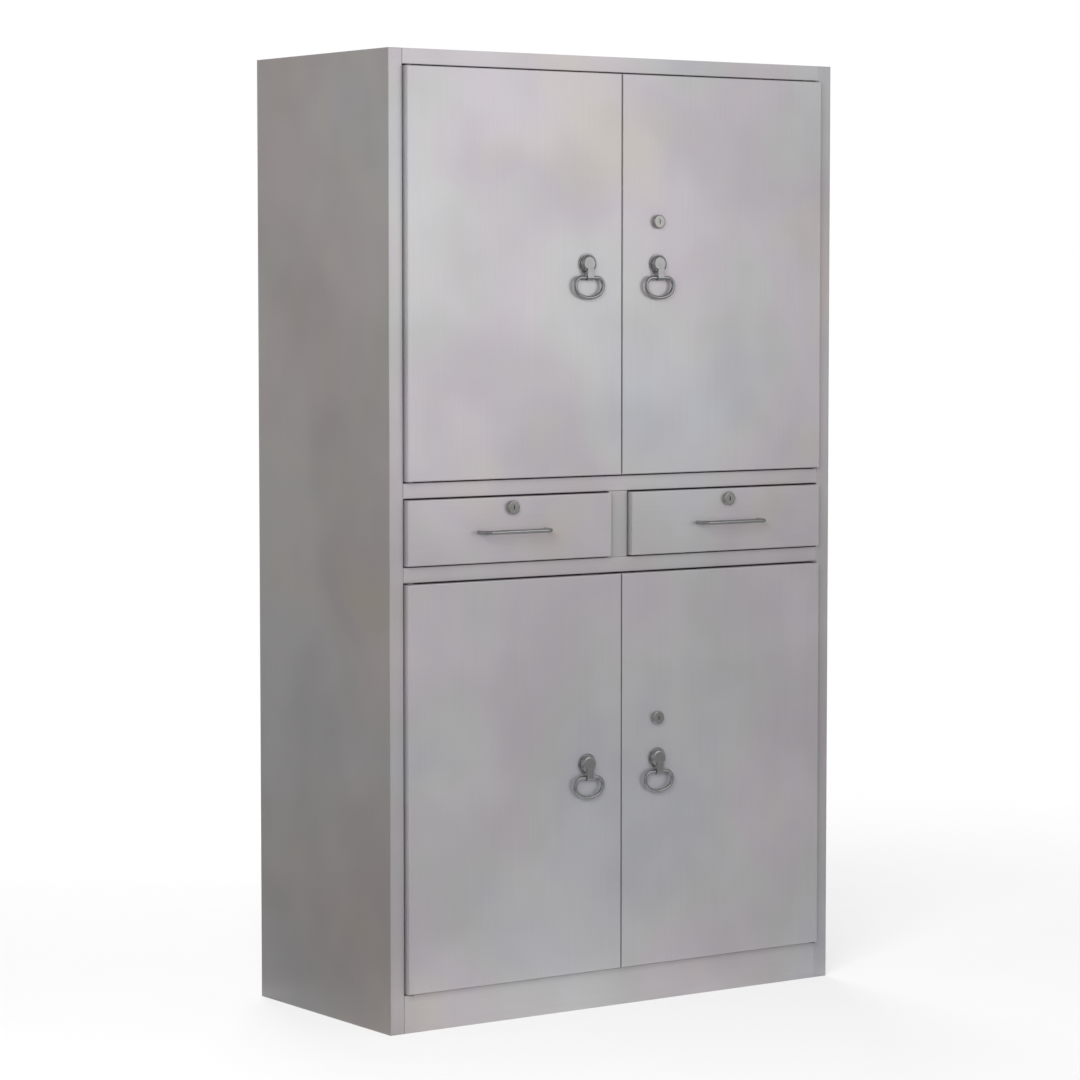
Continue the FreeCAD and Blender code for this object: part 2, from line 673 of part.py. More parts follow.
def door_stiffener(name, storey, side):
    """Hat channel behind the middle of the door's face."""
    body = new_body(f"{name}_stiffener")
    x0, low, x1, high = door_edges(storey, side)
    middle = f"(({x0} + {x1}) / 2)"
    crown = f"{SKIN_BACK} + hat_depth"
    foot, wall, hollow = "-hat_width / 2 - hat_foot", "-hat_width / 2", "-hat_width / 2 + gauge"
    foot_top = f"{SKIN_BACK} + gauge"
    outside = [(foot, SKIN_BACK), (foot, foot_top), (wall, foot_top), (wall, crown)]
    inside = [(hollow, f"{crown} - gauge"), (hollow, SKIN_BACK)]
    left = [(f"{middle} + ({x})", y) for x, y in outside + inside]
    right = [(f"{middle} - ({x})", y) for x, y in outside + inside]
    plan = left[:4] + right[3::-1] + right[:3:-1] + left[4:]
    pad(body, "XY", f"{low} + gauge + seat_gap", f"{high} - gauge - seat_gap", plan)
    node(body, f"{name}_stiffener")


def pull_place(storey, side):
    return f"{side} * pull_offset", f"(({storey.bottom} + {storey.top}) / 2 + {storey.pull})"


def pull_rose(name, x, z):
    """Domed base of a ring pull, with the lug below it and the riveted stud behind."""
    body = new_body(f"{name}_pull_rose")
    base = f"({FACE} - rose_base)"
    crown = f"({base} - dome_rise)"
    pad(body, "XZ", crown, base, Circle(x, z, "dome_radius"))
    doc.recompute()
    front = body.Tip.Shape.BoundBox.YMin
    round_edges(body, "dome_round", lambda edge: abs(edge.BoundBox.YMax - front) < NEAR)
    pad(body, "XZ", base, FACE, Circle(x, z, "rose_radius"))
    pivot_y, pivot_z = f"({FACE} - ring_off)", f"({z} - ring_drop)"
    neck = rectangle(f"{pivot_y} - lug_radius", pivot_z, FACE, f"{z} - dome_radius / 2")
    pad(body, "YZ", f"{x} - lug_width / 2", f"{x} + lug_width / 2", neck)
    pad(body, "YZ", f"{x} - lug_width / 2", f"{x} + lug_width / 2", Circle(pivot_y, pivot_z, "lug_radius"))
    hole = Circle(pivot_y, pivot_z, "ring_pin + running_fit")
    pocket(body, "YZ", f"{x} - lug_width / 2", f"{x} + lug_width / 2", hole)
    pad(body, "XZ", FACE, f"{SKIN_BACK} + stud_head_thick", Circle(x, z, "stud_radius"))
    pad(body, "XZ", SKIN_BACK, f"{SKIN_BACK} + stud_head_thick", Circle(x, z, "stud_head"))
    node(body, f"{name}_pull_rose")


def pull_ring(name, x, z):
    """Bent wire ring that hangs from the lug: shoulders, rounded lower corners and a wide shallow bottom."""
    y, pivot = f"{FACE} - ring_off", f"({z} - ring_drop)"
    turn = size("ring_turn")
    shoulder_x = "(ring_half - ring_shoulder)"
    corner_x = "(ring_half - ring_corner)"
    side_z = f"({pivot} - ring_shoulder)"
    sweep = f"({corner_x} / cos(ring_turn * 1 deg))"
    bottom_z = f"({side_z} + {sweep} * sin(ring_turn * 1 deg))"

    def arc(dx, centre_z, radius, start, angle):
        place = (f"{x} + {dx}", y, centre_z)
        lie = UPRIGHT * Rotation(Vector(0, 0, 1), start)
        return primitive("Torus", place, lie, Radius1=radius, Radius2="ring_wire", Angle3=angle)

    wire = [
        arc(shoulder_x, side_z, "ring_shoulder", 0, "90"),
        arc(f"-1 * {shoulder_x}", side_z, "ring_shoulder", 90, "90"),
        arc(corner_x, side_z, "ring_corner", -turn, "ring_turn"),
        arc(f"-1 * {corner_x}", side_z, "ring_corner", 180, "ring_turn"),
        arc("0", bottom_z, f"{sweep} + ring_corner", 180 + turn, "180 - 2 * ring_turn"),
    ]
    lug_side = "(lug_width / 2 + ring_side_gap)"
    pin_end = "(lug_width / 2 - ring_pin_length)"
    straight = f"{shoulder_x} - {lug_side}"
    pin = f"{shoulder_x} - {pin_end}"
    wire.append(cylinder((f"{x} + {lug_side}", y, pivot), ALONG_X, "ring_wire", straight))
    wire.append(cylinder((f"{x} - {shoulder_x}", y, pivot), ALONG_X, "ring_wire", straight))
    wire.append(cylinder((f"{x} + {pin_end}", y, pivot), ALONG_X, "ring_pin", pin))
    wire.append(cylinder((f"{x} - {shoulder_x}", y, pivot), ALONG_X, "ring_pin", pin))
    node(fuse(f"{name}_pull_ring", wire), f"{name}_pull_ring")


def lock_body(name, x, z):
    """Barrel with its rounded face, held by a hexagon nut behind the sheet."""
    body = new_body(f"{name}_barrel")
    pad(body, "XZ", f"{FACE} - bezel_reach", FACE, Circle(x, z, "bezel_radius"))
    doc.recompute()
    front = body.Tip.Shape.BoundBox.YMin
    round_edges(body, "bezel_round", lambda edge: abs(edge.BoundBox.YMax - front) < NEAR)
    pad(body, "XZ", FACE, f"{FACE} + barrel_length", Circle(x, z, "barrel_radius"))
    bore = Circle(x, z, "core_radius + running_fit")
    pocket(body, "XZ", f"{FACE} - bezel_reach", f"{FACE} + barrel_length", bore)
    hexagon = primitive("Prism", (x, SKIN_BACK, z), ALONG_Y, Circumradius="nut_radius", Height="nut_thick")
    thread = cylinder((x, SKIN_BACK, z), ALONG_Y, "barrel_radius + running_fit", "nut_thick")
    group([body, cut(f"{name}_nut", hexagon, thread)], f"{name}_body")


def lock_core(name, x, z, half, reach, pointing):
    """Turning core with its keyway, and the cam on its inner end."""
    front = f"({FACE} - bezel_reach)"
    core = cylinder((x, front, z), ALONG_Y, "core_radius", f"{CAM_FRONT} - {front}")
    stub = cylinder((x, CAM_FRONT, z), ALONG_Y, "cam_pin_radius", "cam_thick")
    corner = (f"{x} - keyway_width / 2", front, f"{z} - keyway_height / 2")
    keyway = primitive("Box", corner, Length="keyway_width", Width="keyway_depth", Height="keyway_height")
    plug = cut(f"{name}_plug", fuse(f"{name}_round", [core, stub]), keyway)
    cam = new_body(f"{name}_cam")
    along = f"({reach} - {half})"
    if pointing == "down":
        plate = rectangle(f"{x} - {half}", f"{z} - {along}", f"{x} + {half}", z)
        end = Circle(x, f"{z} - {along}", half)
    else:
        plate = rectangle(x, f"{z} - {half}", f"{x} + {along}", f"{z} + {half}")
        end = Circle(f"{x} + {along}", z, half)
    for loop in (plate, end, Circle(x, z, half)):
        pad(cam, "XZ", CAM_FRONT, f"{CAM_FRONT} + cam_thick", loop)
    pocket(cam, "XZ", CAM_FRONT, f"{CAM_FRONT} + cam_thick", Circle(x, z, "cam_pin_radius + running_fit"))
    group([plug, cam], f"{name}_core")


def bolt_case(door, up):
    """Plate with two guides; door is the edge that the bolt leaves by, and up is 1 at the top, else -1."""
    body = new_body("bolt_case")
    x = "-bolt_offset"
    outer = f"({door} - {up} * bolt_case_gap)"
    inner = f"({outer} - {up} * bolt_case_length)"
    ends = (outer, inner) if up < 0 else (inner, outer)
    plate_back = f"({DOOR_BACK} + bolt_case_plate)"
    plate = rectangle(f"{x} - bolt_case_half", ends[0], f"{x} + bolt_case_half", ends[1])
    pad(body, "XZ", DOOR_BACK, plate_back, plate)
    guide_back = f"({BOLT_LINE} + bolt_radius + bolt_case_plate)"
    guide = rectangle(f"{x} - bolt_guide_half", plate_back, f"{x} + bolt_guide_half", guide_back)
    pad(body, "XY", ends[0], f"{ends[0]} + bolt_guide", guide)
    pad(body, "XY", f"{ends[1]} - bolt_guide", ends[1], guide)
    pocket(body, "XY", ends[0], ends[1], Circle(x, BOLT_LINE, "bolt_radius + running_fit"))
    return body


def bolt(name, door, up):
    """Rod with its knob, drawn back."""
    x = "-bolt_offset"
    length = "(bolt_case_gap - bolt_end_gap + bolt_case_length + bolt_tail)"
    tip = f"({door} - {up} * bolt_end_gap)"
    low = tip if up < 0 else f"({tip} - {length})"
    rod = cylinder((x, BOLT_LINE, low), Rotation(), "bolt_radius", length)
    case_middle = f"({door} - {up} * (bolt_case_gap + bolt_case_length / 2))"
    knob_place = (x, BOLT_LINE, f"{case_middle} - {up} * bolt_throw / 2")
    knob = cylinder(knob_place, ALONG_Y, "knob_radius", "knob_reach")
    node(fuse(name, [rod, knob]), name)


def door(storey, hand):
    side = SIDES[hand]
    name = f"{storey.name}_{hand}_door"
    x, z = pull_place(storey, side)
    lock_z = f"({z} + {storey.lock})"
    holes = [Circle(x, z, "stud_radius + stud_fit")]
    if hand == "right":
        holes.append(Circle(x, lock_z, "barrel_radius + stud_fit"))
    door_pan(name, storey, side, holes)
    door_stiffener(name, storey, side)
    pull_rose(name, x, z)
    pull_ring(name, x, z)
    if hand == "right":
        lock_body(f"{name}_lock", x, lock_z)
        lock_core(f"{name}_lock", x, lock_z, "tongue_half", "tongue_reach", "down")
        return
    x0, low, x1, high = door_edges(storey, side)
    group([bolt_case(high, 1), bolt_case(low, -1)], f"{name}_bolt_cases")
    bolt(f"{name}_top_bolt", high, 1)
    bolt(f"{name}_bottom_bolt", low, -1)


# Drawers


def drawer_front(name, side, pull_z):
    body = new_body(f"{name}_front")
    low, high = f"({DRAWER_BOTTOM} + door_gap)", f"({DRAWER_TOP} - door_gap)"
    near, far = "(mullion / 2 + door_gap)", DOOR_EDGE
    edges = (near, low, far, high) if side > 0 else (f"(-1 * {far})", low, f"(-1 * {near})", high)
    pan(body, edges, "drawer_lip")
    middle = f"{side} * {DRAWER_MIDDLE}"
    legs = [f"{middle} + {leg} * pull_span / 2" for leg in (-1, 1)]
    holes = [Circle(leg, pull_z, "screw_radius + running_fit") for leg in legs]
    holes.append(Circle(middle, DRAWER_LOCK, "barrel_radius + stud_fit"))
    pocket(body, "XZ", FACE, SKIN_BACK, *holes)
    node(body, f"{name}_front")


def drawer_tray(name, side):
    """Open tray behind the drawer front, with its top edge folded in."""
    body = new_body(f"{name}_tray")
    near, far = "(mullion / 2 + slide_width)", f"({OPEN} - slide_width)"
    x0, x1 = (near, far) if side > 0 else (f"(-1 * {far})", f"(-1 * {near})")
    edges = (x0, DOOR_BACK, x1, f"({DOOR_BACK} + tray_length)")
    low = f"({DRAWER_BOTTOM} + tray_rise)"
    top = f"({low} + tray_height)"
    pad(body, "XY", low, f"{low} + gauge", rectangle(*edges))
    pad(body, "XY", low, top, rectangle(*edges), inset(*edges, "gauge"))
    pad(body, "XY", f"{top} - gauge", top, rectangle(*edges), inset(*edges, "tray_hem"))
    node(body, f"{name}_tray")


def drawer_pull(name, side, z):
    """Bow pull of bent wire, tapped for a screw in each leg."""
    middle = f"{side} * {DRAWER_MIDDLE}"
    bar_y = f"({FACE} - pull_reach + pull_wire)"
    corner_y = f"({bar_y} + pull_bend)"
    bar_start = (f"{middle} - pull_span / 2 + pull_bend", bar_y, z)
    wire = [cylinder(bar_start, ALONG_X, "pull_wire", "pull_span - 2 * pull_bend")]
    taps = []
    for leg, start in ((-1, Rotation(Vector(0, 0, 1), 180)), (1, Rotation(Vector(0, 0, 1), 270))):
        x = f"{middle} + {leg} * pull_span / 2"
        wire.append(cylinder((x, corner_y, z), ALONG_Y, "pull_wire", f"{FACE} - {corner_y}"))
        centre = (f"{middle} + {leg} * (pull_span / 2 - pull_bend)", corner_y, z)
        wire.append(primitive("Torus", centre, start, Radius1="pull_bend", Radius2="pull_wire", Angle3="90"))
        mouth = (x, f"{FACE} - screw_depth", z)
        taps.append(cylinder(mouth, ALONG_Y, "screw_radius + running_fit", "screw_depth"))
    bow = fuse(f"{name}_bow", wire)
    node(cut(f"{name}_pull", bow, fuse(f"{name}_taps", taps)), f"{name}_pull")


def pull_screws(name, side, z):
    screws = []
    for leg in (-1, 1):
        x = f"{side} * {DRAWER_MIDDLE} + {leg} * pull_span / 2"
        tip = f"({FACE} - screw_depth + seat_gap)"
        shank = cylinder((x, tip, z), ALONG_Y, "screw_radius", f"{SKIN_BACK} - {tip}")
        head = cylinder((x, SKIN_BACK, z), ALONG_Y, "screw_head", "screw_head_thick")
        screws.append(fuse(f"{name}_screw", [shank, head]))
    group(screws, f"{name}_pull_screws")


# Telescopic slides: three nested channels, drawn from the face that carries the outer one


def slide_channel(body, face, toward, points):
    """Pads a slide's section; points are (distance from the carrying face, height from the middle)."""
    section = [(f"{face} + {toward} * ({out})", f"{SLIDE_LINE} + ({up})") for out, up in points]
    pad(body, "XZ", "slide_front", "slide_front + slide_length", section)
    return body


def mirrored(points):
    """The points followed by their mirror images below the middle, in reverse order."""
    return points + [(depth, f"-({height})") for depth, height in reversed(points)]


def lipped_channel(start, reach, half):
    """C channel that opens towards the drawer, with its lips turned in."""
    inner = f"({half}) - slide_wall"
    lip = f"({half}) - slide_wall - slide_lip"
    web, end = f"{start} + slide_wall", f"{reach} - slide_wall"
    return mirrored([(web, inner), (end, inner), (end, lip), (reach, lip), (reach, half), (start, half)])


def outer_channel():
    return lipped_channel("0", "slide_reach", "slide_half")


MIDDLE_REACH = "(slide_reach - slide_wall - slide_gap)"
MIDDLE_HALF = "(slide_half - slide_wall - slide_gap)"


def middle_channel():
    return lipped_channel("slide_wall + slide_gap", MIDDLE_REACH, MIDDLE_HALF)


def inner_channel():
    """Channel on the drawer's side, whose edges turn out behind the middle member's lips."""
    hook_end = f"({MIDDLE_REACH} - slide_wall - slide_gap)"
    hook_start = f"({hook_end} - slide_wall)"
    outer = f"({MIDDLE_HALF} - slide_wall - slide_gap)"
    stem = f"({MIDDLE_HALF} - slide_wall - slide_lip - slide_gap)"
    points = [("slide_width - slide_wall", f"{stem} - slide_wall"), (hook_start, f"{stem} - slide_wall")]
    points += [(hook_start, outer), (hook_end, outer), (hook_end, stem), ("slide_width", stem)]
    return mirrored(points)


def slide_faces(side):
    """The faces that carry the two slides of a drawer, with the direction from each towards the drawer."""
    return (f"{side} * {OPEN}", -side), (f"{side} * mullion / 2", side)


def slide_members(name, sides, section):
    faces = [face for side in sides for face in slide_faces(side)]
    group([slide_channel(new_body("slide"), face, toward, section) for face, toward in faces], name)


def drawer(hand):
    side = SIDES[hand]
    name = f"{hand}_drawer"
    x = f"{side} * {DRAWER_MIDDLE}"
    pull_z = f"(({DRAWER_BOTTOM} + {DRAWER_TOP}) / 2 - pull_below)"
    drawer_front(name, side, pull_z)
    drawer_tray(name, side)
    drawer_pull(name, side, pull_z)
    pull_screws(name, side, pull_z)
    lock_body(f"{name}_lock", x, DRAWER_LOCK)
    lock_core(f"{name}_lock", x, DRAWER_LOCK, "drawer_cam_half", "drawer_cam_reach", "aside")
    slide_members(f"{name}_slide_middle", [side], middle_channel())
    slide_members(f"{name}_slide_inner", [side], inner_channel())


for hand, side in SIDES.items():
    side_panel(hand, side)
front_posts()
back_panel()
top_panel()
plinth_panel()
floor_panel()
deck("upper_deck", DRAWER_TOP, UPPER_BOTTOM, True, [cam_slot(side) for side in SIDES.values()])
deck("lower_deck", LOWER_TOP, DRAWER_BOTTOM, False)
drawer_partition()
slide_brackets()
slide_members("slide_outer_members", SIDES.values(), outer_channel())
for storey in STOREYS:
    shelf(storey)
shelf_fittings()
hinges_and_catches()
for storey in STOREYS:
    for hand in SIDES:
        door(storey, hand)
for hand in SIDES:
    drawer(hand)
doc.recompute()

failed = [part.Label for part in doc.Objects if {"Invalid", "Error"} & set(part.State)]
failed += [part.Label for part in nodes if part.Shape.isNull() or not part.Shape.isValid()]
if failed:
    raise SystemExit(f"not built: {', '.join(failed)}")
os.makedirs("parts", exist_ok=True)
for part in nodes:
    part.Shape.exportStep(f"parts/{part.Label}.step")
print(len(nodes), "sub-parts written")
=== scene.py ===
"""Brushed stainless medical cabinet in a white studio.

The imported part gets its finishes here, with a floor, light and a camera around it. Lengths are in metres.
"""

import json
import math

import bpy
from mathutils import Euler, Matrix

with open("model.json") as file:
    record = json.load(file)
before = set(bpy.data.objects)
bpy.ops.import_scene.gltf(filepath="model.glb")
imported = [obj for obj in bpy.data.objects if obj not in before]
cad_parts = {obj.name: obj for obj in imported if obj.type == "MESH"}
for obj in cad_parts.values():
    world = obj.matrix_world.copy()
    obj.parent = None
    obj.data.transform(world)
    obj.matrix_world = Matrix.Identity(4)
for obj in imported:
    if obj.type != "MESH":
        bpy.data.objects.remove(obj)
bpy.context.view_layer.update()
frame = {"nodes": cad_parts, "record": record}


# Node trees

WHITE = (1, 1, 1, 1)

# Sockets of the Mix node that carry colours, by their place in its lists
MIX_FACTOR = 0
MIX_FIRST = 6
MIX_SECOND = 7
MIX_RESULT = 2


class Field:
    """A socket of a node tree; arithmetic on fields and numbers adds Math nodes."""

    def __init__(self, tree, socket=None):
        self.tree = tree
        self.socket = socket

    def add(self, kind, settings=None, sockets=None, output=0):
        """A node of that type: its settings are set first, then its sockets get values or links."""
        made = self.tree.nodes.new(f"ShaderNode{kind}")
        for name, setting in (settings or {}).items():
            setattr(made, name, setting)
        for name, value in (sockets or {}).items():
            if isinstance(value, Field):
                self.tree.links.new(value.socket, made.inputs[name])
            else:
                made.inputs[name].default_value = value
        return Field(self.tree, made.outputs[output])

    def math(self, operation, *values):
        return self.add("Math", {"operation": operation}, dict(enumerate(values)))

    def __add__(self, other):
        return self.math("ADD", self, other)

    __radd__ = __add__

    def __sub__(self, other):
        return self.math("SUBTRACT", self, other)

    def __rsub__(self, other):
        return self.math("SUBTRACT", other, self)

    def __mul__(self, other):
        return self.math("MULTIPLY", self, other)

    def span(self, low, high, to_low=0.0, to_high=1.0):
        """This value mapped smoothly from one span to another, held at its ends."""
        sockets = {"Value": self, "From Min": low, "From Max": high, "To Min": to_low, "To Max": to_high}
        return self.add("MapRange", {"interpolation_type": "SMOOTHSTEP"}, sockets)

    def ramp(self, stops):
        """The colour for this value on a ramp of places and colours."""
        ramp = self.add("ValToRGB", None, {"Fac": self})
        elements = ramp.socket.node.color_ramp.elements
        while len(elements) < len(stops):
            elements.new(1)
        for element, (place, colour) in zip(elements, stops):
            element.position = place
            element.color = (*colour, 1)
        return ramp

    def mix(self, first, second):
        """The first colour where this value is 0 and the second where it is 1."""
        colours = {
            place: (*colour, 1) if isinstance(colour, tuple) else colour
            for place, colour in ((MIX_FIRST, first), (MIX_SECOND, second))
        }
        return self.add("Mix", {"data_type": "RGBA"}, {MIX_FACTOR: self, **colours}, MIX_RESULT)

    def shaded(self, share):
        """This colour multiplied by a field."""
        settings = {"data_type": "RGBA", "blend_type": "MULTIPLY"}
        sockets = {MIX_FACTOR: 1.0, MIX_FIRST: self, MIX_SECOND: share}
        return self.add("Mix", settings, sockets, MIX_RESULT)

    def stretched(self, scale):
        """This vector with each part multiplied."""
        return self.add("VectorMath", {"operation": "MULTIPLY"}, {0: self, 1: scale})

    def shifted(self, step):
        """This vector with a step added."""
        return self.add("VectorMath", {"operation": "ADD"}, {0: self, 1: step})

    def along(self, direction):
        """How far this vector goes in a direction, which may be another field."""
        settings = {"operation": "DOT_PRODUCT"}
        return self.add("VectorMath", settings, {0: self, 1: direction}, "Value")

    def noise(self, scale=1.0, detail=2.0, roughness=0.5):
        """Soft noise at this place, with about that many patches in a metre."""
        sockets = {"Vector": self, "Scale": scale, "Detail": detail, "Roughness": roughness}
        return self.add("TexNoise", None, sockets)

    def relief(self, depth, strength=1.0, **normal):
        """The normal of a surface that this value raises by up to a depth."""
        sockets = {"Height": self, "Distance": depth, "Strength": strength, **normal}
        return self.add("Bump", None, sockets)


def new_material(name):
    """An empty material, and a field to build its tree from."""
    material = bpy.data.materials.new(name)
    material.use_nodes = True
    tree = material.node_tree
    tree.nodes.clear()
    return material, Field(tree)


def surface(tools, shader):
    output = tools.tree.nodes.new("ShaderNodeOutputMaterial")
    tools.tree.links.new(shader.socket, output.inputs["Surface"])


def principled(tools, sockets):
    surface(tools, tools.add("BsdfPrincipled", None, sockets))


def own_place(tools):
    """Place on the piece itself."""
    return tools.add("TexCoord", output="Object")


def darkened(colour, share):
    return tuple(part * share for part in colour)


# Rounded edges

EDGE_RADIUS = 0.0009
EDGE_TURN = (0.01, 0.2)


def soft_edges(tools, radius):
    """Normal with the edges rounded, and a mask that is 1 on the edges."""
    rounded = tools.add("Bevel", {"samples": 4}, {"Radius": radius})
    flat = tools.add("NewGeometry", output="Normal")
    return rounded, (1 - rounded.along(flat)).span(*EDGE_TURN)


# Brushed steel: lines in a metre along x, y and z, and patches in a metre

GRAIN_LINES = {"upright": (900, 900, 7), "level": (7, 900, 900)}
LINE_RANGE = (0.2, 0.8)
LINE_SHADE = (0.95, 1.0)
LINE_DEPTH = 0.00002
LINE_ROUGHNESS = 0.08

CLOUDS = 2.6
CLOUD_SHIFT = (-0.6, -4.6, 0.8)
CLOUD_STOPS = (0.34, 0.46, 0.56, 0.68)
CLOUD_TINTS = ((0.97, 0.99, 1.05), (1.0, 1.005, 1.0), (1.01, 0.955, 1.01), (1.04, 0.99, 0.935))

HAZE = 4.2
HAZE_SHIFT = (-8.9, 3.2, -2.9)
HAZE_RANGE = (0.3, 0.7)
HAZE_SHADE = (0.935, 1.06)

HANDLING = 9.0
HANDLING_ROUGHNESS = 0.10
SHEET_WAVES = 3.1
MILLIMETRE = 0.001

RUBBED_COLOUR = (0.70, 0.70, 0.695)
RUBBED_SHARE = 0.4
RUBBED_SMOOTHNESS = 0.06


def brushed_steel(name, grain, colour, roughness, wave, metal):
    """Sheet with fine lines along the grain, cloudy tints, rubbed edges and waves up to a millimetre high."""
    material, tools = new_material(name)
    place = own_place(tools)
    lines = place.stretched(GRAIN_LINES[grain]).noise(detail=3.0, roughness=0.6)
    clouds = place.shifted(CLOUD_SHIFT).noise(CLOUDS)
    haze = place.shifted(HAZE_SHIFT).noise(HAZE)
    handling = place.noise(HANDLING, detail=4.0, roughness=0.6)
    waves = place.noise(SHEET_WAVES, detail=1.0, roughness=0.4)
    rounded, edge = soft_edges(tools, EDGE_RADIUS)
    tints = [tuple(part * share for part, share in zip(colour, tint)) for tint in CLOUD_TINTS]
    shade = lines.span(*LINE_RANGE, *LINE_SHADE) * haze.span(*HAZE_RANGE, *HAZE_SHADE)
    clouded = clouds.ramp(list(zip(CLOUD_STOPS, tints))).shaded(shade)
    base = (edge * RUBBED_SHARE).mix(clouded, RUBBED_COLOUR)
    height = lines * (LINE_DEPTH / MILLIMETRE) + waves * wave
    normal = height.relief(MILLIMETRE, Normal=rounded)
    uneven = (lines - 0.5) * LINE_ROUGHNESS + (handling - 0.5) * HANDLING_ROUGHNESS
    rough = roughness + uneven - edge * RUBBED_SMOOTHNESS
    principled(tools, {"Base Color": base, "Metallic": metal, "Roughness": rough, "Normal": normal})
    return material


# Polished plating

SMEARS = 60.0
SMEAR_RANGE = (0.3, 0.7)
SMEAR_SHADE = 0.93
HEAVY_SMEARS = (0.4, 0.75)
SMEAR_ROUGHNESS = 0.08
HAIRLINES = (300, 300, 2200)
HAIR_DEPTH = 0.00004
HAIR_STRENGTH = 0.4
HAIR_ROUGHNESS = 0.03


def polished(name, colour, roughness):
    """Plated and polished metal with faint smears and hairline marks."""
    material, tools = new_material(name)
    place = own_place(tools)
    smears = place.noise(SMEARS, detail=4.0, roughness=0.6)
    hairs = place.stretched(HAIRLINES).noise()
    base = smears.span(*SMEAR_RANGE).mix(colour, darkened(colour, SMEAR_SHADE))
    uneven = smears.span(*HEAVY_SMEARS) * SMEAR_ROUGHNESS + (hairs - 0.5) * HAIR_ROUGHNESS
    rough = roughness + uneven
    rounded, _ = soft_edges(tools, EDGE_RADIUS / 2)
    normal = hairs.relief(HAIR_DEPTH, HAIR_STRENGTH, Normal=rounded)
    principled(tools, {"Base Color": base, "Metallic": 1.0, "Roughness": rough, "Normal": normal})
    return material


# Zinc plating

CRYSTALS = 260.0
CRYSTAL_SHADE = 0.86
CRYSTAL_ROUGHNESS = 0.10
RUN_MARKS = (500, 6, 500)
RUN_DEPTH = 0.0001
RUN_STRENGTH = 0.3
RUN_RANGE = (0.5, 0.8)
RUN_SMOOTHNESS = 0.12
ZINC_ROUGHNESS = 0.34
EVEN_SHARES = (0.333, 0.333, 0.333)


def zinc_plate(name, colour):
    """Bright zinc on pressed steel: small crystals and rubbed running faces."""
    material, tools = new_material(name)
    place = own_place(tools)
    crystals = tools.add("TexVoronoi", None, {"Vector": place, "Scale": CRYSTALS}, "Color")
    flake = crystals.along(EVEN_SHARES)
    marks = place.stretched(RUN_MARKS).noise()
    base = flake.mix(colour, darkened(colour, CRYSTAL_SHADE))
    rough = ZINC_ROUGHNESS + flake * CRYSTAL_ROUGHNESS - marks.span(*RUN_RANGE) * RUN_SMOOTHNESS
    normal = marks.relief(RUN_DEPTH, RUN_STRENGTH)
    principled(tools, {"Base Color": base, "Metallic": 1.0, "Roughness": rough, "Normal": normal})
    return material


# Moulded plastic

SPARKS = 1400.0
SPARK_DEPTH = 0.0001
SPARK_STRENGTH = 0.35
DUST = 35.0
DUST_RANGE = (0.45, 0.8)
DUST_SHADE = 0.9
DUST_ROUGHNESS = 0.12
PLASTIC_ROUGHNESS = 0.46


def moulded_plastic(name, colour):
    """Plastic with the fine texture of its mould and a little dust."""
    material, tools = new_material(name)
    place = own_place(tools)
    sparks = place.noise(SPARKS)
    dust = place.noise(DUST, detail=3.0, roughness=0.6)
    base = dust.span(*DUST_RANGE).mix(colour, darkened(colour, DUST_SHADE))
    rough = PLASTIC_ROUGHNESS + (dust - 0.5) * DUST_ROUGHNESS
    normal = sparks.relief(SPARK_DEPTH, SPARK_STRENGTH)
    principled(tools, {"Base Color": base, "Roughness": rough, "Normal": normal})
    return material


# Finishes of the cabinet's pieces, by the record's material slot and, for steel, by how the piece lies

steels = {
    ("cabinet_steel", "side"): brushed_steel(
        "panel_steel", "upright", colour=(0.610, 0.584, 0.561), roughness=0.36, wave=1.0, metal=0.88
    ),
    # post_steel_shaded is a darker copy of the frame steel: painted shade on the upright frame pieces
    ("cabinet_steel", "upright"): brushed_steel(
        "post_steel_shaded", "upright", colour=(0.565, 0.555, 0.557), roughness=0.34, wave=0.3, metal=0.72
    ),
    ("cabinet_steel", "level"): brushed_steel(
        "rail_steel", "level", colour=(0.625, 0.613, 0.616), roughness=0.34, wave=0.3, metal=0.72
    ),
    ("door_steel", "upright"): brushed_steel(
        "door_steel", "upright", colour=(0.62, 0.61, 0.617), roughness=0.33, wave=0.8, metal=0.72
    ),
    ("door_steel", "level"): brushed_steel(
        "drawer_steel", "level", colour=(0.605, 0.593, 0.599), roughness=0.33, wave=0.4, metal=0.72
    ),
    ("hinge_steel", "upright"): brushed_steel(
        "hinge_steel", "upright", colour=(0.40, 0.40, 0.40), roughness=0.30, wave=0.0, metal=0.9
    ),
}
fittings = {
    "pull_chrome": polished("pull_chrome", (0.47, 0.47, 0.475), roughness=0.10),
    "lock_chrome": polished("lock_chrome", (0.51, 0.505, 0.485), roughness=0.13),
    "bolt_chrome": polished("bolt_chrome", (0.66, 0.66, 0.66), roughness=0.16),
    "slide_zinc": zinc_plate("slide_zinc", (0.62, 0.63, 0.64)),
    "catch_plastic": moulded_plastic("catch_plastic", (0.07, 0.07, 0.072)),
}
SIDE_PIECES = {"left_side_panel", "right_side_panel"}
LEVEL_PIECES = {
    "top_panel", "plinth_panel", "floor_panel", "upper_deck", "lower_deck", "upper_shelf", "lower_shelf",
    "left_drawer_front", "right_drawer_front", "left_drawer_tray", "right_drawer_tray",
}

for part in frame["record"]["subparts"]:
    name, slot = part["node"], part["material_slot"]
    way = "level" if name in LEVEL_PIECES else "side" if name in SIDE_PIECES else "upright"
    finish = fittings.get(slot) or steels[slot, way]
    mesh = frame["nodes"][name].data
    mesh.materials.clear()
    mesh.materials.append(finish)


# Floor

FLOOR_RADIUS = 3.2
FLOOR_SIDES = 96
FADE_START = 1.3
FADE_END = 3.1

